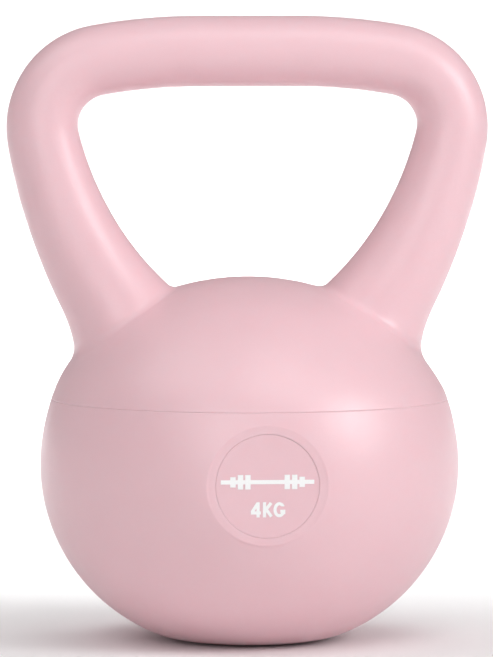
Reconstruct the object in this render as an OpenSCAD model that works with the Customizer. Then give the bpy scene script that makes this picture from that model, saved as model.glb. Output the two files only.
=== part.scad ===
// Soft-shelled kettlebell: a sand-filled ball in two welded vinyl shells, the wide stirrup handle
// moulded in one with the upper shell, a bent steel tube inside the handle, and a filling port
// closed by a flush plug. Millimetres. The origin is the centre of the flat rest face, +Z up, the
// handle runs along X and the port faces -Y.

/* [Ball] */
// Largest outside diameter of the ball
ball_d = 147.5; // [146.5:0.5:149]
// Height of the ball's oval before its base is cut flat
ball_h = 132; // [131.4:0.2:132.6]
// Height of the ball's widest circle above the floor
equator_z = 62.3; // [62:0.1:62.8]
// Radius of the ball's side in section
side_r = 64.2; // [63.6:0.1:64.6]
// Thickness of the vinyl shells
wall = 3.4; // [3:0.1:3.8]
// Thickness of the floor of the lower shell
floor_t = 4; // [3.6:0.1:6]
// Height of the seam between the shells
seam_z = 85.4; // [84:0.2:87]
// Width of the visible line at the seam
seam_gap = 0.3; // [0.2:0.1:0.5]

/* [Handle] */
// Diameter of the grip in the middle of the bar
bar_d = 24.8; // [24.4:0.1:25.6]
// Height of the top of the handle
top_z = 220; // [217:0.5:223]
// Length of the straight stretch from the middle of the bar to a shoulder
bar_half = 18; // [16:0.5:20]
// Radius of the gentle shoulder between bar and corner, on the centre line
shoulder_r = 200; // [190:5:220]
// Length of the shoulder
shoulder_len = 35; // [33:0.5:37]
// Radius of the corner bend on its centre line
corner_r = 23.7; // [23.3:0.1:24.4]
// Turn of the corner bend in degrees
corner_turn = 92; // [91:0.1:93]
// Radius of the leg's bend on its centre line
leg_bend_r = 152.5; // [149:0.5:156]
// Distance along the handle from the middle of the bar to the end of the leg inside the ball
skin_end = 163; // [162:0.5:164]
// How much the root of each leg spreads outwards where it meets the ball
flare_reach = 6.2; // [5.4:0.2:7]

/* [Core] */
// Outside diameter of the steel tube
core_d = 12; // [11:0.5:12.5]
// Wall of the steel tube
core_wall = 1.5; // [1:0.1:2]
// Turn of the tube's legs after the corner bend in degrees
core_leg_turn = 36.5; // [36:0.5:37.5]
// Length of the strap that ties the tube's ends together
strap_len = 92; // [88:1:96]
// Width of the strap
strap_w = 22; // [20:1:26]
// Thickness of the strap
strap_t = 3; // [2.5:0.5:4]

/* [Filling port] */
// Diameter of the plug's disc
plug_d = 35.5; // [34.7:0.2:36.3]
// Diameter of the flat recess round the disc
recess_d = 41.4; // [40.6:0.2:43]
// Distance of the recess floor from the centre of the ball
recess_floor = 70.5; // [70.1:0.1:70.6]
// Tilt of the port's axis below level in degrees
port_tilt = 1.5; // [0:0.5:4]
// Bore of the neck
neck_bore = 22; // [20:0.5:24]

/* [Print] */
// Width of the barbell sign
sign_w = 32; // [26:1:33]
// Height of the weight figures
figure_h = 5.2; // [4:0.1:5.6]
// Thickness of the printed ink
ink_t = 0.12; // [0.1:0.02:0.2]

/* [Hidden] */
// ball section: side arcs meet crown arcs without a corner
half_h = ball_h / 2;
side_c = ball_d / 2 - side_r;
crown_r = (side_c * side_c + half_h * half_h - side_r * side_r) / (2 * (half_h - side_r));
crown_drop = crown_r - half_h;
crown_share = side_c / (crown_r - side_r);
reach = 200;
over = 1;
through = 30;

// handle centre line: a straight stretch and three arcs that meet without a corner
deg = 180 / PI;
bar_r = bar_d / 2;
bar_z = top_z - bar_r;
shoulder_turn = shoulder_len / shoulder_r * deg;
shoulder_end = bar_half + shoulder_len;
corner_len = corner_r * corner_turn / deg;
corner_end = shoulder_end + corner_len;
corner_mid = shoulder_end + corner_len / 2;
corner_tilt = shoulder_turn + corner_turn;
shoulder_c = [bar_half, bar_z - shoulder_r];
corner_c = shoulder_c + (shoulder_r - corner_r) * [sin(shoulder_turn), cos(shoulder_turn)];
leg_c = corner_c + (corner_r - leg_bend_r) * [sin(corner_tilt), cos(corner_tilt)];
flare_start = 144;
flare_power = 2.5;
leg_swell = [8.6, -0.5];
foam_gap = 0.3;
sand_gap = 0.3;

// numbers of rings along the handle and of sides round it
shoulder_steps = 4;
corner_steps = 13;
leg_steps = 6;
flare_steps = 7;
skin_sides = 32;
bore_sides = 24;
core_sides = 20;
core_steps = 10;
dome_fn = 72;
bend_fn = 240;
rim_step = 3;

// joint ring
ring_low = 8;
ring_high = 7;
ring_t = 2.6;
ring_gap = 0.1;

// core and strap
core_r = core_d / 2;
core_end_tilt = corner_tilt + core_leg_turn;
core_end = corner_end + core_leg_turn * leg_bend_r / deg;
strap_z = 100;
strap_tilt = tilt_at_height(strap_z);
weld_gap = 0.2;
cap_depth = 6;
cap_lip = 1.2;
cap_gap = 0.1;

// port, as distances from the ball's centre along its axis
boss_r = 25;
boss_in = 58;
plug_t = 2.4;
seat_gap = 0.1;
seat = recess_floor - plug_t - seat_gap;
disc_gap = 0.25;
neck_r = 14;
neck_flange_r = 18;
neck_flange_t = 2;
neck_in = boss_in - neck_flange_t;
neck_top = seat - seat_gap;
stem_r = neck_bore / 2 - 0.2;
stem_in = neck_in - 1.6;
lip_r = neck_bore / 2 + 0.6;
seal_r = 0.95;
seal_at = 61.5;
seal_gap = 0.1;
seal_ring_r = neck_bore / 2 - seal_gap / 2 - seal_r;
groove_r = seal_ring_r - seal_r - seal_gap / 2;
groove_w = 2 * (seal_r + seal_gap);
stem_wall = 2;

// sand
sand_floor = floor_t + sand_gap;
sand_top = 118;
end_play = 1;

// print, up from the port's axis
sign_up = 1.5;
bar_share = 0.045;
disc_share = 0.058;
figures_up = -10.6;
pen_share = 0.21;

$fn = 96;

// ---------------------------------------------------------------- ball

// right half of the oval section, moved in by an even amount
module oval_half(inset) {
    split_x = (crown_r - inset) * crown_share;
    intersection() {
        translate([0, -crown_drop])
            circle(r = crown_r - inset);
        translate([0, crown_drop])
            circle(r = crown_r - inset);
        translate([0, -reach])
            square([split_x, 2 * reach]);
    }
    intersection() {
        translate([side_c, 0])
            circle(r = side_r - inset);
        translate([split_x, -reach])
            square([reach, 2 * reach]);
    }
}

// the ball, moved in by an even amount and kept between two heights
module oval_ball(inset, z_low, z_high) {
    translate([0, 0, equator_z])
        rotate_extrude()
            intersection() {
                oval_half(inset);
                translate([0, z_low - equator_z])
                    square([reach, z_high - z_low]);
            }
}

// point of the oval's outline where it slopes by an angle, 0 at the widest circle
function oval_point(a) =
    abs(a) < acos(crown_share) ? [side_c + side_r * cos(a), side_r * sin(a)]
    : [crown_r * cos(a), crown_r * sin(a) - sign(a) * crown_drop];

// the lower shell's outside, turned from short straight stretches between its rest face and seam
module lower_ball() {
    low = -asin((equator_z + crown_drop) / crown_r);
    high = asin((seam_z - seam_gap / 2 - equator_z) / side_r);
    steps = ceil((high - low) / rim_step);
    translate([0, 0, equator_z])
        rotate_extrude()
            polygon(concat(
                [[0, -equator_z]],
                [for (i = [0 : steps]) oval_point(low + (high - low) * i / steps)],
                [[0, seam_z - seam_gap / 2 - equator_z]]));
}

// ---------------------------------------------------------------- handle line

function arc_centre(s) = s < shoulder_end ? shoulder_c : (s < corner_end ? corner_c : leg_c);

function arc_radius(s) = s < shoulder_end ? shoulder_r : (s < corner_end ? corner_r : leg_bend_r);

// slope of the centre line below level at distance s from the middle of the bar
function tilt(s) =
    s < bar_half ? 0
    : (s < shoulder_end ? (s - bar_half) / shoulder_r * deg
    : (s < corner_end ? shoulder_turn + (s - shoulder_end) / corner_r * deg
    : corner_tilt + (s - corner_end) / leg_bend_r * deg));

function line_point(s) =
    s < bar_half ? [s, bar_z] : arc_centre(s) + arc_radius(s) * [sin(tilt(s)), cos(tilt(s))];

// slope of the leg's centre line where it passes a height
function tilt_at_height(z) = acos((z - leg_c[1]) / leg_bend_r);

// radius of the round leg, which swells towards the ball
function leg_r(s) =
    let (t = max(0, s - corner_mid) / 100)
    bar_r + leg_swell[0] * t * t + leg_swell[1] * t * t * t;

// extra reach on the outer side of the leg's root
function flare(s) = flare_reach * pow(max(0, s - flare_start) / (skin_end - flare_start), flare_power);

// one cross-section, as points in space
function ring(s, r, spread, sides) =
    let (p = line_point(s), n = tilt(s))
    [for (i = [0 : sides - 1])
        let (a = 360 * i / sides,
            rho = r + spread * pow((1 + cos(a)) / 2, 2))
        [p[0] + rho * cos(a) * sin(n), rho * sin(a), p[1] + rho * cos(a) * cos(n)]];

top_stops = concat(
    [0],
    [for (i = [0 : shoulder_steps - 1]) bar_half + shoulder_len * i / shoulder_steps],
    [for (i = [0 : corner_steps - 1]) shoulder_end + corner_len * i / corner_steps]);
skin_stops = concat(
    top_stops,
    [for (i = [0 : leg_steps - 1]) corner_end + (flare_start - corner_end) * i / leg_steps],
    [for (i = [0 : flare_steps]) flare_start + (skin_end - flare_start) * i / flare_steps]);
core_stops = concat(
    top_stops,
    [for (i = [0 : core_steps]) corner_end + (core_end - corner_end) * i / core_steps]);

// solid between two cross-sections
module loft(near, far) {
    sides = len(near);
    hull()
        polyhedron(
            points = concat(near, far),
            faces = [[for (i = [0 : sides - 1]) i], [for (i = [0 : sides - 1]) 2 * sides - 1 - i]]);
}

// the whole handle as a rod that swells down its legs, moved in by an even amount
module swelling_rod(inset, spread, sides) {
    for (side = [0, 1])
        mirror([side, 0, 0])
            for (k = [1 : len(skin_stops) - 1]) {
                near = skin_stops[k - 1];
                far = skin_stops[k];
                loft(
                    ring(near, leg_r(near) - inset, spread ? flare(near) : 0, sides),
                    ring(far, leg_r(far) - inset, spread ? flare(far) : 0, sides));
            }
}

// a rod of one radius along the handle and on to the ends of the steel tube
module even_rod(r) {
    for (side = [0, 1])
        mirror([side, 0, 0])
            for (k = [1 : len(core_stops) - 1])
                loft(ring(core_stops[k - 1], r, 0, core_sides), ring(core_stops[k], r, 0, core_sides));
}

// ---------------------------------------------------------------- shells

module upper_shell() {
    color("pink")
        difference() {
            union() {
                oval_ball(0, seam_z + seam_gap / 2, equator_z + half_h, $fn = dome_fn);
                swelling_rod(0, true, skin_sides);
            }
            oval_ball(wall, seam_z - over, equator_z + half_h, $fn = dome_fn);
            swelling_rod(wall, false, bore_sides);
            translate([-reach / 2, -reach / 2, 0])
                cube([reach, reach, seam_z + seam_gap / 2]);
        }
}

module lower_shell() {
    color("pink")
        difference() {
            lower_ball();
            difference() {
                oval_ball(wall, floor_t, seam_z + over);
                port(boss_in)
                    cylinder(r = boss_r, h = through);
            }
            port(recess_floor)
                cylinder(d = recess_d, h = through);
            port(seat)
                cylinder(r = plug_d / 2 + disc_gap, h = through);
            port(boss_in - over)
                cylinder(r = neck_r + weld_gap, h = through);
        }
}

// ring behind the seam that both shells are welded to
module joint_ring() {
    color("pink")
        difference() {
            oval_ball(wall + ring_gap, seam_z - ring_low, seam_z + ring_high);
            oval_ball(wall + ring_gap + ring_t,
                seam_z - ring_low - over, seam_z + ring_high + over);
        }
}

// ---------------------------------------------------------------- handle insides

module handle_core() {
    color("silver")
        difference() {
            even_rod(core_r);
            even_rod(core_r - core_wall);
        }
}

// places something on both of the tube's legs, its Z along the leg
module on_legs(leg_tilt) {
    for (side = [0, 1])
        mirror([side, 0, 0])
            translate([leg_c[0], 0, leg_c[1]]
                + leg_bend_r * [sin(leg_tilt), 0, cos(leg_tilt)])
                rotate([0, leg_tilt + 90, 0])
                    children();
}

module core_end_plugs() {
    color("dimgray")
        on_legs(core_end_tilt) {
            translate([0, 0, -cap_depth])
                cylinder(r = core_r - core_wall - cap_gap, h = cap_depth);
            cylinder(r = core_r, h = cap_lip);
        }
}

module anchor_plate() {
    color("silver")
        difference() {
            intersection() {
                translate([-strap_len / 2, -strap_w / 2, strap_z - strap_t / 2])
                    cube([strap_len, strap_w, strap_t]);
                translate([0, 0, strap_z - strap_t])
                    cylinder(d = strap_len, h = 2 * strap_t);
            }
            on_legs(strap_tilt)
                translate([0, 0, -through / 2])
                    cylinder(r = core_r + weld_gap, h = through);
        }
}

module handle_foam() {
    color("gray")
        difference() {
            swelling_rod(wall + foam_gap, false, bore_sides);
            oval_ball(wall - foam_gap, seam_z, equator_z + half_h, $fn = dome_fn);
            even_rod(core_r + foam_gap);
        }
}

// ---------------------------------------------------------------- filling

// the round hollow that the tube's legs leave in the sand
module core_leg(r) {
    for (side = [0, 1])
        mirror([side, 0, 0])
            translate([leg_c[0], 0, leg_c[1]])
                rotate([90, 0, 0])
                    rotate([0, 0, 90 - core_end_tilt - end_play])
                        rotate_extrude(angle = core_leg_turn, $fn = bend_fn)
                            translate([leg_bend_r, 0])
                                circle(r = r);
}

module sand_fill() {
    color("khaki")
        difference() {
            oval_ball(wall + sand_gap, sand_floor, sand_top);
            difference() {
                oval_ball(wall, seam_z - ring_low - sand_gap, seam_z + ring_high + sand_gap);
                oval_ball(wall + ring_gap + ring_t + sand_gap,
                    seam_z - ring_low - over, seam_z + ring_high + over);
            }
            core_leg(core_r + sand_gap);
            translate([-strap_len / 2 - sand_gap, -strap_w / 2 - sand_gap,
                strap_z - strap_t / 2 - sand_gap])
                cube([strap_len + 2 * sand_gap, strap_w + 2 * sand_gap,
                    strap_t + 2 * sand_gap]);
            port(stem_in - sand_gap)
                cylinder(r = boss_r + sand_gap, h = through);
        }
}

// ---------------------------------------------------------------- filling port

// places something on the port's axis, its Z pointing out of the ball
module port(along) {
    translate([0, 0, equator_z])
        rotate([90 + port_tilt, 0, 0])
            translate([0, 0, along])
                children();
}

module filler_neck() {
    color("white")
        port(neck_in)
            difference() {
                union() {
                    cylinder(r = neck_flange_r, h = neck_flange_t);
                    cylinder(r = neck_r, h = neck_top - neck_in);
                }
                translate([0, 0, -over])
                    cylinder(d = neck_bore, h = through);
            }
}

module filler_plug() {
    color("lightpink")
        port(0)
            difference() {
                union() {
                    translate([0, 0, recess_floor - plug_t])
                        cylinder(d = plug_d, h = plug_t);
                    translate([0, 0, stem_in])
                        cylinder(r = stem_r, h = recess_floor - plug_t / 2 - stem_in);
                    translate([0, 0, stem_in])
                        cylinder(r1 = stem_r, r2 = lip_r, h = neck_in - stem_in - seal_gap);
                }
                translate([0, 0, seal_at - groove_w / 2])
                    difference() {
                        cylinder(r = neck_bore / 2, h = groove_w);
                        cylinder(r = groove_r, h = groove_w);
                    }
                translate([0, 0, stem_in - over])
                    cylinder(r = groove_r - stem_wall, h = recess_floor - plug_t - stem_in);
            }
}

module plug_seal() {
    color("black")
        port(seal_at)
            rotate_extrude()
                translate([seal_ring_r, 0])
                    circle(r = seal_r);
}

// ---------------------------------------------------------------- print

// straight stroke of ink between two points
module stroke(from, to, width) {
    d = to - from;
    translate(from)
        rotate(atan2(d[1], d[0]))
            translate([0, -width / 2])
                square([norm(d), width]);
}

// barbell: a bar with three discs at each end, as wide as the sign
module barbell_sign() {
    square([sign_w, sign_w * bar_share], center = true);
    for (side = [-1, 1])
        for (disc = [[0.21, 0.155], [0.29, 0.155], [0.37, 0.11]])
            translate([side * sign_w * disc[0], 0])
                square([sign_w * disc_share, sign_w * disc[1]], center = true);
}

// weight figures in plain strokes; sizes are shares of the figure height
module weight_figures() {
    pen = figure_h * pen_share;
    // four
    translate([-figure_h * 1.06, 0]) {
        stroke([figure_h * 0.44, 0], [figure_h * 0.44, figure_h], pen);
        stroke([figure_h * 0.42, figure_h * 0.93], [figure_h * 0.04, figure_h * 0.34], pen);
        stroke([-figure_h * 0.03, figure_h * 0.3], [figure_h * 0.62, figure_h * 0.3], pen);
    }
    // k
    translate([-figure_h * 0.3, 0]) {
        stroke([pen / 2, 0], [pen / 2, figure_h], pen);
        stroke([pen / 2, figure_h * 0.4], [figure_h * 0.54, figure_h * 0.95], pen);
        stroke([figure_h * 0.22, figure_h * 0.52], [figure_h * 0.56, figure_h * 0.05], pen);
    }
    // g
    translate([figure_h * 0.78, figure_h / 2]) {
        difference() {
            scale([0.78, 1])
                circle(r = figure_h / 2);
            scale([0.62, 1])
                circle(r = figure_h / 2 - pen);
            translate([figure_h * 0.06, -figure_h * 0.04])
                square([figure_h, figure_h * 0.26]);
        }
        stroke([figure_h * 0.06, -pen / 2], [figure_h * 0.39, -pen / 2], pen);
        stroke([figure_h * 0.3, -figure_h * 0.3], [figure_h * 0.3, 0], pen * 0.9);
    }
}

module printed_mark() {
    color("white")
        port(recess_floor)
            linear_extrude(ink_t) {
                translate([0, sign_up])
                    barbell_sign();
                translate([0, figures_up])
                    weight_figures();
            }
}

// ---------------------------------------------------------------- nodes

upper_shell();
lower_shell();
joint_ring();
handle_core();
core_end_plugs();
anchor_plate();
handle_foam();
sand_fill();
filler_neck();
filler_plug();
plug_seal();
printed_mark();
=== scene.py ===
"""Soft-shelled kettlebell: the visible vinyl shells and plug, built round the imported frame.

Metres, +Z up, handle along X, filling plug towards -Y. Shape formulas work in millimetres.
"""

import math

import bmesh
import bpy
import numpy as np
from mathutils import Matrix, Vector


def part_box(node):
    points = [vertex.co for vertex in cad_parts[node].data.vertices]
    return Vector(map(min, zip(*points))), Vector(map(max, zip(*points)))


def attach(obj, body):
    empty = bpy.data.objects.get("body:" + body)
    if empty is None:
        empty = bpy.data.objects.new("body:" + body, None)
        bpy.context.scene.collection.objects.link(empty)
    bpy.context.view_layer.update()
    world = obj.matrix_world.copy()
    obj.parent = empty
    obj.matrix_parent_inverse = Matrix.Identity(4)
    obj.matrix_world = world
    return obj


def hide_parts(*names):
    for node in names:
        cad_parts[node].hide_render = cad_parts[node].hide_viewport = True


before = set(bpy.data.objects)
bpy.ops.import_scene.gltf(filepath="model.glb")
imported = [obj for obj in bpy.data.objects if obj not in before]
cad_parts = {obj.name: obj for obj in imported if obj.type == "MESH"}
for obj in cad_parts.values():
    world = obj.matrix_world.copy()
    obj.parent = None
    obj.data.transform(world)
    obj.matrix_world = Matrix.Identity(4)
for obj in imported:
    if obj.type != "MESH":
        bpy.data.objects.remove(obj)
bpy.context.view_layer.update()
scene = bpy.context.scene

MM = 0.001

# ------------------------------------------------------------------ sizes, in millimetres

lower_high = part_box("lower_shell")[1] / MM
upper_low, upper_high = (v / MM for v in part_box("upper_shell"))

WALL = 3.4

# ball: its widest height, then its section of a side arc between two crown arcs
BALL_R = lower_high.x
EQUATOR = 62.3
SIDE_R = 64.2
HALF_H = 66.0
SIDE_C = BALL_R - SIDE_R
CROWN_R = (SIDE_C**2 + HALF_H**2 - SIDE_R**2) / (2 * (HALF_H - SIDE_R))
CROWN_DROP = CROWN_R - HALF_H

# handle: a straight stretch and three arcs, then how its legs grow towards the ball
BAR_R = 12.4
BAR_Z = upper_high.z - BAR_R
BAR_HALF = 18.0
SHOULDER_R, SHOULDER_LEN = 200.0, 35.0
CORNER_R, CORNER_TURN = 23.7, math.radians(92)
LEG_R = 152.5
SKIN_END = 163.0
SWELL = (8.6, -0.5)
FLARE, FLARE_START = 6.2, 144.0

SHOULDER_TURN = SHOULDER_LEN / SHOULDER_R
SHOULDER_END = BAR_HALF + SHOULDER_LEN
CORNER_END = SHOULDER_END + CORNER_R * CORNER_TURN
CORNER_TILT = SHOULDER_TURN + CORNER_TURN
SHOULDER_C = np.array([BAR_HALF, BAR_Z - SHOULDER_R])
CORNER_C = SHOULDER_C + (SHOULDER_R - CORNER_R) * np.array(
    [math.sin(SHOULDER_TURN), math.cos(SHOULDER_TURN)]
)
LEG_C = CORNER_C + (CORNER_R - LEG_R) * np.array(
    [math.sin(CORNER_TILT), math.cos(CORNER_TILT)]
)
LEG_TILT = CORNER_TILT + (SKIN_END - CORNER_END) / LEG_R

# filling port: its axis, the disc's face and the flat round it, as distances from the ball's centre
PORT_TILT = math.radians(1.5)
PORT_C = np.array([0.0, 0.0, EQUATOR])
PORT_OUT = np.array([0.0, -math.cos(PORT_TILT), -math.sin(PORT_TILT)])
PORT_UP = np.array([0.0, -math.sin(PORT_TILT), math.cos(PORT_TILT)])
PORT_SIDE = np.array([1.0, 0.0, 0.0])
FACE = 70.5
RIM = FACE + 0.09
DISC_R = 17.75
DISC_T = 2.4
DISC_EDGE = 0.16
STEM_R, STEM_END, STEM_BORE = 10.8, 54.6, 6.5
RECESS_R = 20.7
NECK_R = 14.2
BOSS_R = 24.2
HOLE_GAP = 0.02

# widths over which surfaces run into each other
FILLET, WAIST = 2.2, 3.0
BASE_EDGE = 3.0
# the weld behind the seam pushes both shells out a little, at this height over the widest circle
WELD_BULGE, WELD_AT, WELD_SPREAD = 0.45, 27.0, 9.0
# the handle sits a little to one side of the ball
LEAN, LEAN_FROM, LEAN_TO = 0.55, 86, 98


# ------------------------------------------------------------------ shape formulas

def ball_gap(rho, up):
    """Distance from the ball's oval, at radius rho and height up from its widest circle."""
    weld = WELD_BULGE * np.exp(-(((up - WELD_AT) / WELD_SPREAD) ** 2))
    up = np.abs(up)
    crown = rho * CROWN_DROP < SIDE_C * (up + CROWN_DROP)
    return np.where(
        crown,
        np.hypot(rho, up + CROWN_DROP) - CROWN_R,
        np.hypot(rho - SIDE_C, up) - SIDE_R - weld,
    )


def ball_radius(z):
    """Outside radius of the ball's side at a height above the floor."""
    weld = WELD_BULGE * math.exp(-(((z - EQUATOR - WELD_AT) / WELD_SPREAD) ** 2))
    return SIDE_C + math.sqrt((SIDE_R + weld) ** 2 - (z - EQUATOR) ** 2)


def swell(s):
    """Radius of the handle at a distance along it from the middle of the bar."""
    t = np.maximum(s - (SHOULDER_END + CORNER_END) / 2, 0) / 100
    return BAR_R + SWELL[0] * t**2 + SWELL[1] * t**3


def flare(s, side):
    """Extra reach on the outer side of a leg's root; side is 1 there and -1 opposite."""
    t = np.clip((s - FLARE_START) / (SKIN_END - FLARE_START), 0, 1.3)
    return FLARE * t**2.5 * ((1 + side) / 2) ** 2


def handle_gap(x, y, z):
    """Distance from the handle's skin, and 1 on its outer side down to -1 on its inner."""
    x = np.abs(x)
    best = None
    s = np.clip(x, 0, BAR_HALF)
    parts = [(x - s, z - BAR_Z, s, z - BAR_Z)]
    for centre, radius, t0, t1, s0 in (
        (SHOULDER_C, SHOULDER_R, 0, SHOULDER_TURN, BAR_HALF),
        (CORNER_C, CORNER_R, SHOULDER_TURN, CORNER_TILT, SHOULDER_END),
        (LEG_C, LEG_R, CORNER_TILT, LEG_TILT, CORNER_END),
    ):
        t = np.clip(np.arctan2(x - centre[0], z - centre[1]), t0, t1)
        du = x - centre[0] - radius * np.sin(t)
        dw = z - centre[1] - radius * np.cos(t)
        parts.append((du, dw, s0 + (t - t0) * radius, du * np.sin(t) + dw * np.cos(t)))
    for du, dw, s, outward in parts:
        reach = np.sqrt(du**2 + dw**2 + y**2)
        side = outward / np.maximum(reach, 1e-6)
        gap = reach - swell(s) - flare(s, side)
        if best is None:
            best, turn = gap, side
        else:
            nearer = gap < best
            best, turn = np.where(nearer, gap, best), np.where(nearer, side, turn)
    return best, turn


def ease(low, high, v):
    """0 below low, 1 above high and smooth between."""
    t = np.clip((v - low) / (high - low), 0, 1)
    return t * t * (3 - 2 * t)


def soft_min(a, b, k):
    """The lesser of two, rounded where they differ by less than k."""
    h = np.clip(1 - np.abs(a - b) / k, 0, 1)
    return np.minimum(a, b) - h * h * k / 4


def ripple(x, y, z):
    """The slow unevenness of a soft moulding, a few hundredths of a millimetre."""
    return 0.035 * np.sin(x / 13 + 1.3) * np.sin(y / 11 - 0.4) * np.sin(z / 12 + 0.8)


def upper_field(x, y, z):
    """Handle and ball in one skin, with a crease on the inside and a waist on the outside."""
    x = x + LEAN * ease(LEAN_FROM, LEAN_TO, z)
    leg, turn = handle_gap(x, y, z)
    k = FILLET + (WAIST - FILLET) * ease(-0.1, 0.9, turn)
    gap = soft_min(ball_gap(np.hypot(x, y), z - EQUATOR), leg, k)
    return gap + ripple(x, y, z) * ease(86, 92, z)


def lower_field(x, y, z):
    """The ball with its base cut flat and the cut's edge rounded."""
    return -soft_min(-ball_gap(np.hypot(x, y), z - EQUATOR), z, BASE_EDGE)


# ------------------------------------------------------------------ meshes


def surface_net(field, low, high, step):
    """Quads along a field's zero, then drawn onto it exactly."""
    axes = [np.arange(a, b + step, step) for a, b in zip(low, high)]
    values = field(*np.meshgrid(*axes, indexing="ij"))
    inside = values < 0
    n = np.array(inside.shape) - 1
    corners = [(i, j, k) for i in (0, 1) for j in (0, 1) for k in (0, 1)]

    def part(grid, c):
        return grid[c[0] : c[0] + n[0], c[1] : c[1] + n[1], c[2] : c[2] + n[2]]

    count = sum(part(inside, c).astype(np.int8) for c in corners)
    cells = np.argwhere((count > 0) & (count < 8))
    index = np.full(n, -1)
    index[tuple(cells.T)] = np.arange(len(cells))
    total, hits = np.zeros((len(cells), 3)), np.zeros(len(cells))
    for axis in range(3):
        for c in corners:
            if c[axis]:
                continue
            d = list(c)
            d[axis] = 1
            a = values[tuple((cells + c).T)]
            b = values[tuple((cells + d).T)]
            cross = (a < 0) != (b < 0)
            t = np.where(cross, a / np.where(cross, a - b, 1), 0)
            point = np.array(c, float) + np.zeros((len(cells), 3))
            point[:, axis] = t
            total += point * cross[:, None]
            hits += cross
    start = np.array([a[0] for a in axes])
    verts = start + (cells + total / hits[:, None]) * step
    quads = []
    for axis in range(3):
        u, v = [a for a in range(3) if a != axis]
        here = inside.take(range(n[axis]), axis)
        there = inside.take(range(1, n[axis] + 1), axis)
        edges = np.argwhere(here != there)
        ok = (
            (edges[:, u] > 0)
            & (edges[:, v] > 0)
            & (edges[:, u] < n[u])
            & (edges[:, v] < n[v])
        )
        edges = edges[ok]
        out = here[tuple(edges.T)]
        ring = []
        for du, dv in ((-1, -1), (0, -1), (0, 0), (-1, 0)):
            cell = edges.copy()
            cell[:, u] += du
            cell[:, v] += dv
            ring.append(index[tuple(cell.T)])
        ring = np.stack(ring, 1)
        if axis == 1:
            out = ~out
        quads.append(np.where(out[:, None], ring, ring[:, ::-1]))
    for _ in range(5):
        verts = drawn_on(field, verts)
    return verts, np.concatenate(quads)


def slope(field, verts, h=0.02):
    """How steeply a field changes along each axis."""
    grad = np.zeros_like(verts)
    for a in range(3):
        step = np.zeros(3)
        step[a] = h
        grad[:, a] = (field(*(verts + step).T) - field(*(verts - step).T)) / (2 * h)
    return grad


def drawn_on(field, verts):
    """Points moved one step nearer to where a field is zero."""
    grad = slope(field, verts)
    size = np.maximum((grad**2).sum(1), 0.05)
    return verts - grad * (field(*verts.T) / size)[:, None]


def add_piece(name, verts, faces, material):
    """A smooth mesh object from points in millimetres."""
    mesh = bpy.data.meshes.new(name)
    mesh.from_pydata((np.asarray(verts) * MM).tolist(), [], [list(f) for f in faces])
    mesh.validate()
    mesh.shade_smooth()
    piece = bpy.data.objects.new(name, mesh)
    scene.collection.objects.link(piece)
    mesh.materials.append(material)
    return piece


def cut_at(piece, height, keep_above):
    """Trims a piece at a level and returns an open bmesh of it."""
    bm = bmesh.new()
    bm.from_mesh(piece.data)
    bmesh.ops.bisect_plane(
        bm,
        geom=bm.verts[:] + bm.edges[:] + bm.faces[:],
        plane_co=(0, 0, height * MM),
        plane_no=(0, 0, 1),
        clear_inner=keep_above,
        clear_outer=not keep_above,
    )
    return bm


def add_rim(bm, height, profile):
    """Grows a lip from the trimmed edge: each step is (inwards from the ball, height)."""
    edges = [
        e
        for e in bm.edges
        if len(e.link_faces) == 1
        and all(abs(v.co.z - height * MM) < 1e-6 for v in e.verts)
    ]
    for inwards, z in profile:
        grown = bmesh.ops.extrude_edge_only(bm, edges=edges)["geom"]
        edges = [g for g in grown if isinstance(g, bmesh.types.BMEdge)]
        for v in [g for g in grown if isinstance(g, bmesh.types.BMVert)]:
            scale = (ball_radius(z) - inwards) * MM / math.hypot(v.co.x, v.co.y)
            v.co.x *= scale
            v.co.y *= scale
            v.co.z = z * MM


def finish_mesh(piece, bm):
    """Writes a bmesh back with its faces turned outwards and smooth."""
    bmesh.ops.recalc_face_normals(bm, faces=bm.faces[:])
    for f in bm.faces:
        f.smooth = True
    bm.to_mesh(piece.data)
    bm.free()


def rings_to_faces(rings, sides):
    """Quads between rings of points that follow one another."""
    faces = []
    for k in range(rings - 1):
        for i in range(sides):
            j = (i + 1) % sides
            faces.append(
                (k * sides + i, k * sides + j, (k + 1) * sides + j, (k + 1) * sides + i)
            )
    return faces


def port_point(r, along, a):
    """Points at radius r and distance along the port's axis, at angle a round it."""
    return (
        PORT_C
        + np.outer(r * np.cos(a), PORT_SIDE)
        + np.outer(r * np.sin(a), PORT_UP)
        + np.outer(along, PORT_OUT)
    )


def along_ray(start, direction, low, high):
    """How far from start each ray leaves the lower body."""
    low, high = np.full(len(direction), float(low)), np.full(len(direction), float(high))
    for _ in range(40):
        mid = (low + high) / 2
        p = start + direction * mid[:, None]
        inside = lower_field(*p.T) < 0
        low, high = np.where(inside, mid, low), np.where(inside, high, mid)
    return low


# ------------------------------------------------------------------ materials


def socket(shader, name, value):
    shader.inputs[name].default_value = value


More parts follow.
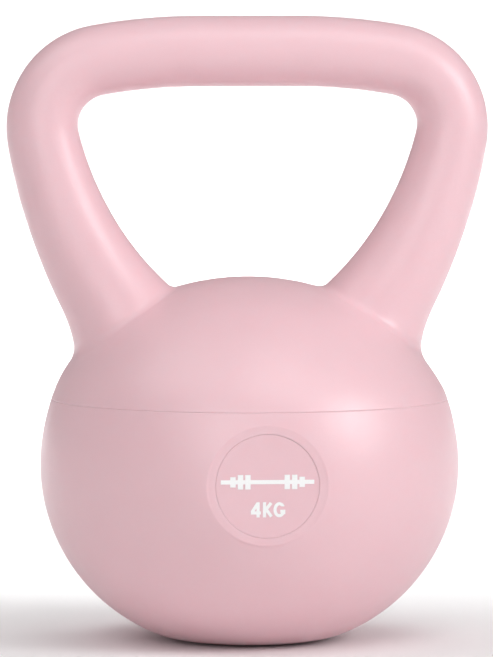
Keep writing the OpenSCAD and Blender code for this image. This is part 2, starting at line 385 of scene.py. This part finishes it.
class Nodes:
    """A material's node tree, with the coordinates of the object as its base."""

    def __init__(self, name):
        self.material = bpy.data.materials.new(name)
        self.material.use_nodes = True
        self.tree = self.material.node_tree
        self.shader = self.tree.nodes["Principled BSDF"]
        self.place = self.tree.nodes.new("ShaderNodeTexCoord").outputs["Object"]

    def add(self, kind, **settings):
        node = self.tree.nodes.new("ShaderNode" + kind)
        for key, value in settings.items():
            setattr(node, key, value)
        return node

    def link(self, a, b):
        self.tree.links.new(a, b)

    def stretched(self, stretch):
        node = self.add("Mapping")
        node.inputs["Scale"].default_value = stretch
        self.link(self.place, node.inputs["Vector"])
        self.place = node.outputs["Vector"]

    def cells(self, scale):
        node = self.add("TexVoronoi")
        node.inputs["Scale"].default_value = scale
        self.link(self.place, node.inputs["Vector"])
        return node.outputs["Distance"]

    def noise(self, scale, detail=2.0, roughness=0.5):
        node = self.add("TexNoise")
        node.inputs["Scale"].default_value = scale
        node.inputs["Detail"].default_value = detail
        node.inputs["Roughness"].default_value = roughness
        self.link(self.place, node.inputs["Vector"])
        return node.outputs["Fac"]

    def spread(self, source, low, high, out_low, out_high):
        node = self.add("MapRange")
        for key, value in zip(
            ("From Min", "From Max", "To Min", "To Max"), (low, high, out_low, out_high)
        ):
            node.inputs[key].default_value = value
        self.link(source, node.inputs["Value"])
        return node.outputs["Result"]

    def between(self, factor, a, b):
        node = self.add("Mix", data_type="RGBA")
        node.inputs["A"].default_value = (*a, 1)
        node.inputs["B"].default_value = (*b, 1)
        self.link(factor, node.inputs["Factor"])
        return node.outputs["Result"]

    def bump(self, *layers):
        """Each layer is (height source, strength, distance in metres)."""
        normal = None
        for source, strength, distance in layers:
            node = self.add("Bump")
            node.inputs["Strength"].default_value = strength
            node.inputs["Distance"].default_value = distance
            self.link(source, node.inputs["Height"])
            if normal is not None:
                self.link(normal, node.inputs["Normal"])
            normal = node.outputs["Normal"]
        self.link(normal, self.shader.inputs["Normal"])

    def colour(self, source):
        self.link(source, self.shader.inputs["Base Color"])

    def rough(self, source):
        self.link(source, self.shader.inputs["Roughness"])


def vinyl(name, pale, deep, rough_low=0.35, rough_high=0.42):
    """Soft PVC: satin, a little cloudy in colour, with a fine orange peel."""
    m = Nodes(name)
    m.colour(m.between(m.spread(m.noise(38, 3), 0.3, 0.7, 0, 1), pale, deep))
    m.rough(m.spread(m.noise(120, 2), 0.3, 0.7, rough_low, rough_high))
    m.bump((m.noise(900, 2), 0.12, 0.0002), (m.noise(160, 1), 0.10, 0.0006))
    socket(m.shader, "Subsurface Weight", 0.3)
    socket(m.shader, "Subsurface Radius", (1.0, 0.5, 0.5))
    socket(m.shader, "Subsurface Scale", 0.0012)
    socket(m.shader, "IOR", 1.5)
    socket(m.shader, "Specular IOR Level", 0.75)
    return m.material


def grained(
    name, dark, light, grain, rough, lift, metallic=0.0, stretch=None, cells=False
):
    """A plain stuff whose colour, roughness and relief vary with one grain size."""
    m = Nodes(name)
    if stretch:
        m.stretched(stretch)
    fine = m.cells(grain) if cells else m.noise(grain, 4, 0.6)
    m.colour(m.between(m.spread(fine, 0.3, 0.7, 0, 1), dark, light))
    m.rough(m.spread(m.noise(grain / 6, 3), 0.3, 0.7, *rough))
    m.bump((fine, 0.35, lift))
    socket(m.shader, "Metallic", metallic)
    return m.material


PALE, DEEP = (0.84, 0.556, 0.603), (0.83, 0.542, 0.589)
shell_vinyl = vinyl("shell_vinyl", PALE, DEEP)
plug_vinyl = vinyl("plug_vinyl", PALE, DEEP, 0.38, 0.45)

# the nodes that keep their CAD shape
for node, finish in {
    "joint_ring": vinyl("ring_vinyl", (0.80, 0.53, 0.58), (0.76, 0.49, 0.54), 0.48, 0.58),
    "handle_core": grained(
        "tube_steel", (0.46, 0.47, 0.48), (0.62, 0.62, 0.63), 500, (0.24, 0.38), 0.00003, 1.0,
        (0.08, 1, 1),
    ),
    "core_end_plugs": grained(
        "cap_plastic", (0.040, 0.040, 0.043), (0.060, 0.060, 0.064), 1100, (0.5, 0.62), 0.00008
    ),
    "anchor_plate": grained(
        "strap_steel", (0.24, 0.24, 0.25), (0.50, 0.50, 0.51), 160, (0.38, 0.6), 0.00008, 1.0
    ),
    "handle_foam": grained(
        "sleeve_foam", (0.13, 0.13, 0.14), (0.25, 0.25, 0.26), 900, (0.85, 0.95), 0.0004,
        cells=True,
    ),
    "sand_fill": grained(
        "sand", (0.14, 0.115, 0.095), (0.42, 0.36, 0.30), 2200, (0.65, 0.95), 0.0004, cells=True
    ),
    "filler_neck": grained(
        "neck_plastic", (0.72, 0.71, 0.68), (0.79, 0.78, 0.76), 700, (0.34, 0.46), 0.00006
    ),
    "plug_seal": grained(
        "seal_rubber", (0.022, 0.022, 0.023), (0.042, 0.042, 0.042), 1500, (0.45, 0.62), 0.00005
    ),
    "printed_mark": grained(
        "white_ink", (0.92, 0.92, 0.92), (0.96, 0.96, 0.96), 1800, (0.38, 0.52), 0.00002
    ),
}.items():
    for cad_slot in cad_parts[node].material_slots:
        cad_slot.material = finish

# ------------------------------------------------------------------ upper shell and handle

step = 1.15
verts, faces = surface_net(
    upper_field,
    (-upper_high.x - 3, -78, upper_low.z - 4),
    (upper_high.x + 3, 78, upper_high.z + 3),
    step,
)
upper = add_piece("upper_skin", verts, faces, shell_vinyl)
edge = upper_low.z
bm = cut_at(upper, edge + 0.5, True)
add_rim(
    bm,
    edge + 0.5,
    [
        (0.0, edge + 0.25),
        (0.02, edge + 0.1),
        (0.08, edge),
        (0.16, edge - 0.08),
        (0.2, edge - 0.25),
        (0.6, edge - 0.4),
        (WALL, edge - 0.4),
        (WALL, edge + 2),
    ],
)
finish_mesh(upper, bm)

# ------------------------------------------------------------------ lower shell

sides = 288
a = np.linspace(0, 2 * math.pi, sides, endpoint=False)
rings = []
seat = FACE - 2.5
hole = DISC_R + HOLE_GAP
for r, along in (
    (NECK_R, seat),
    (hole - 0.3, seat),
    (hole, seat + 0.3),
    (hole, FACE - 0.3),
    (hole + 0.03, RIM - 0.13),
    (hole + 0.09, RIM - 0.04),
    (hole + 0.2, RIM),
    (hole + 0.7, RIM),
    (RECESS_R - 1.2, RIM),
    (RECESS_R - 0.7, RIM),
):
    rings.append(port_point(np.full(sides, r), np.full(sides, along), a))
outwards = np.repeat(PORT_OUT[None], sides, 0)
recess_edge = np.arange(RECESS_R - 0.6, RECESS_R + 1.4, 0.2)
for r in np.concatenate([recess_edge, (23.0, BOSS_R)]):
    base = port_point(np.full(sides, r), np.zeros(sides), a)
    surface = along_ray(base, outwards, 50, 80)
    lift = ease(RECESS_R - 0.6, RECESS_R + 0.6, r)
    rings.append(base + outwards * (RIM + (surface - RIM) * lift)[:, None])
last = math.atan2(BOSS_R, 69.3)
for t in np.linspace(last, math.pi, 135)[1:-1]:
    ray = (
        np.outer(np.cos(a) * math.sin(t), PORT_SIDE)
        + np.outer(np.sin(a) * math.sin(t), PORT_UP)
        + math.cos(t) * PORT_OUT
    )
    rings.append(PORT_C + ray * along_ray(PORT_C, ray, 30, 90)[:, None])
verts = np.concatenate(rings)
faces = rings_to_faces(len(rings), sides)
pole = PORT_C - np.outer(along_ray(PORT_C, -PORT_OUT[None], 30, 90), PORT_OUT)
verts = np.concatenate([verts, pole])
end = (len(rings) - 1) * sides
faces += [(end + i, end + (i + 1) % sides, len(verts) - 1) for i in range(sides)]
lower = add_piece("lower_skin", verts, faces, shell_vinyl)
edge = lower_high.z
bm = cut_at(lower, edge - 0.9, False)
add_rim(
    bm,
    edge - 0.9,
    [
        (-0.02, edge - 0.5),
        (-0.02, edge - 0.2),
        (-0.01, edge - 0.05),
        (0.06, edge + 0.05),
        (0.16, edge + 0.12),
        (0.5, edge + 0.12),
        (WALL, edge - 0.5),
        (WALL, edge - 2),
    ],
)
finish_mesh(lower, bm)

# ------------------------------------------------------------------ plug


def turned(name, profile, material, sides):
    """A solid turned round the port's axis from (radius, distance along it) points."""
    a = np.linspace(0, 2 * math.pi, sides, endpoint=False)
    rings = [port_point(np.full(sides, r), np.full(sides, h), a) for r, h in profile]
    verts = np.concatenate(rings)
    faces = rings_to_faces(len(rings), sides)
    faces.append(tuple(range(sides)))
    faces.append(tuple((len(rings) - 1) * sides + i for i in reversed(range(sides))))
    piece = add_piece(name, verts, faces, material)
    bm = bmesh.new()
    bm.from_mesh(piece.data)
    finish_mesh(piece, bm)
    return piece


round_edge = [
    (DISC_R - DISC_EDGE + DISC_EDGE * math.sin(t), FACE - DISC_EDGE + DISC_EDGE * math.cos(t))
    for t in np.linspace(0, math.pi / 2, 7)
]
plug = turned(
    "plug",
    [(2.0, FACE), (9.0, FACE), (DISC_R - 1.2, FACE), (DISC_R - 0.4, FACE)]
    + round_edge
    + [
        (DISC_R, FACE - DISC_T + 0.2),
        (DISC_R - 0.4, FACE - DISC_T),
        (STEM_R, FACE - DISC_T),
        (STEM_R, STEM_END + 0.4),
        (8, STEM_END),
        (STEM_BORE, STEM_END),
    ],
    plug_vinyl,
    192,
)

# ------------------------------------------------------------------ riding on the frame

for piece, node, slot in (
    (upper, "upper_shell", "shell_vinyl"),
    (lower, "lower_shell", "shell_vinyl"),
    (plug, "filler_plug", "plug_vinyl"),
):
    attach(piece, "root")
    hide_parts(node)

# ------------------------------------------------------------------ stage

FLOOR_R = 28
floor_mesh = bpy.data.meshes.new("floor")
bm = bmesh.new()
bmesh.ops.create_circle(bm, cap_ends=True, radius=FLOOR_R, segments=96)
bm.to_mesh(floor_mesh)
bm.free()
floor = bpy.data.objects.new("floor", floor_mesh)
scene.collection.objects.link(floor)
stage = Nodes("stage")
stage.colour(stage.between(stage.noise(0.8, 2), (0.94, 0.94, 0.94), (0.95, 0.95, 0.95)))
socket(stage.shader, "Roughness", 0.9)
floor_mesh.materials.append(stage.material)

# the horizon is brighter than the rest, so that the floor's far edge doesn't show
HORIZON, SKY = 1.3, 0.29
world = bpy.data.worlds.new("studio")
world.use_nodes = True
sky = world.node_tree
direction = sky.nodes.new("ShaderNodeTexCoord").outputs["Generated"]
split = sky.nodes.new("ShaderNodeSeparateXYZ")
level = sky.nodes.new("ShaderNodeMath")
level.operation = "ABSOLUTE"
glow = sky.nodes.new("ShaderNodeMapRange")
glow.inputs["From Min"].default_value, glow.inputs["From Max"].default_value = 0.01, 0.03
glow.inputs["To Min"].default_value, glow.inputs["To Max"].default_value = HORIZON, SKY
sky.links.new(direction, split.inputs["Vector"])
sky.links.new(split.outputs["Z"], level.inputs[0])
sky.links.new(level.outputs["Value"], glow.inputs["Value"])
sky.links.new(glow.outputs["Result"], sky.nodes["Background"].inputs["Strength"])
sky.nodes["Background"].inputs["Color"].default_value = (1, 1, 1, 1)
scene.world = world
scene.view_settings.view_transform = "Standard"

# point that the lamps and the camera face
target = np.array([-0.00103, 0.0, 0.10995])


def facing(azimuth, elevation):
    """Direction from the object towards something at an azimuth and elevation."""
    azimuth, elevation = math.radians(azimuth), math.radians(elevation)
    return np.array(
        [
            math.sin(azimuth) * math.cos(elevation),
            -math.cos(azimuth) * math.cos(elevation),
            math.sin(elevation),
        ]
    )


def softbox(name, azimuth, elevation, distance, size, power):
    """A round lamp that faces the object."""
    light = bpy.data.lights.new(name, "AREA")
    light.shape = "DISK"
    light.size = size
    light.energy = power
    lamp = bpy.data.objects.new(name, light)
    scene.collection.objects.link(lamp)
    lamp.location = target + facing(azimuth, elevation) * distance
    lamp.rotation_euler = (math.radians(90 - elevation), 0, math.radians(azimuth))
    return lamp


softbox("key", 58, 24, 1.4, 0.75, 8.2)
softbox("front", -20, 18, 1.4, 0.9, 3.5)
softbox("left_top", -70, 55, 1.4, 1.0, 3.4)
softbox("top", 20, 58, 1.4, 0.9, 4.0)


def floor_lamp(name, near, far, width, height, power, beam=70):
    """A bank over the floor behind the object, with a beam that stays off the object."""
    light = bpy.data.lights.new(name, "AREA")
    light.shape = "RECTANGLE"
    light.size, light.size_y = width, far - near
    light.spread = math.radians(beam)
    light.energy = power
    lamp = bpy.data.objects.new(name, light)
    scene.collection.objects.link(lamp)
    lamp.location = (0, (near + far) / 2, height)
    return lamp


floor_lamp("floor_wash", 0.13, 1.1, 1.4, 0.5, 3.3, 60)
floor_lamp("floor_near", 0.9, 3.4, 2.4, 0.9, 34)
floor_lamp("floor_far", 2.8, 30.0, 8.0, 3.0, 1000)

camera_data = bpy.data.cameras.new("camera")
camera = bpy.data.objects.new("camera", camera_data)
scene.collection.objects.link(camera)
azimuth, elevation, distance = -5, 3.6, 2.0
SENSOR, SEEN_LONG_SIDE = 36, 0.23152
camera.location = target + facing(azimuth, elevation) * distance
camera.rotation_euler = (math.radians(90 - elevation), 0, math.radians(azimuth))
camera_data.lens = SENSOR * distance / SEEN_LONG_SIDE
camera_data.clip_end = 200
scene.camera = camera
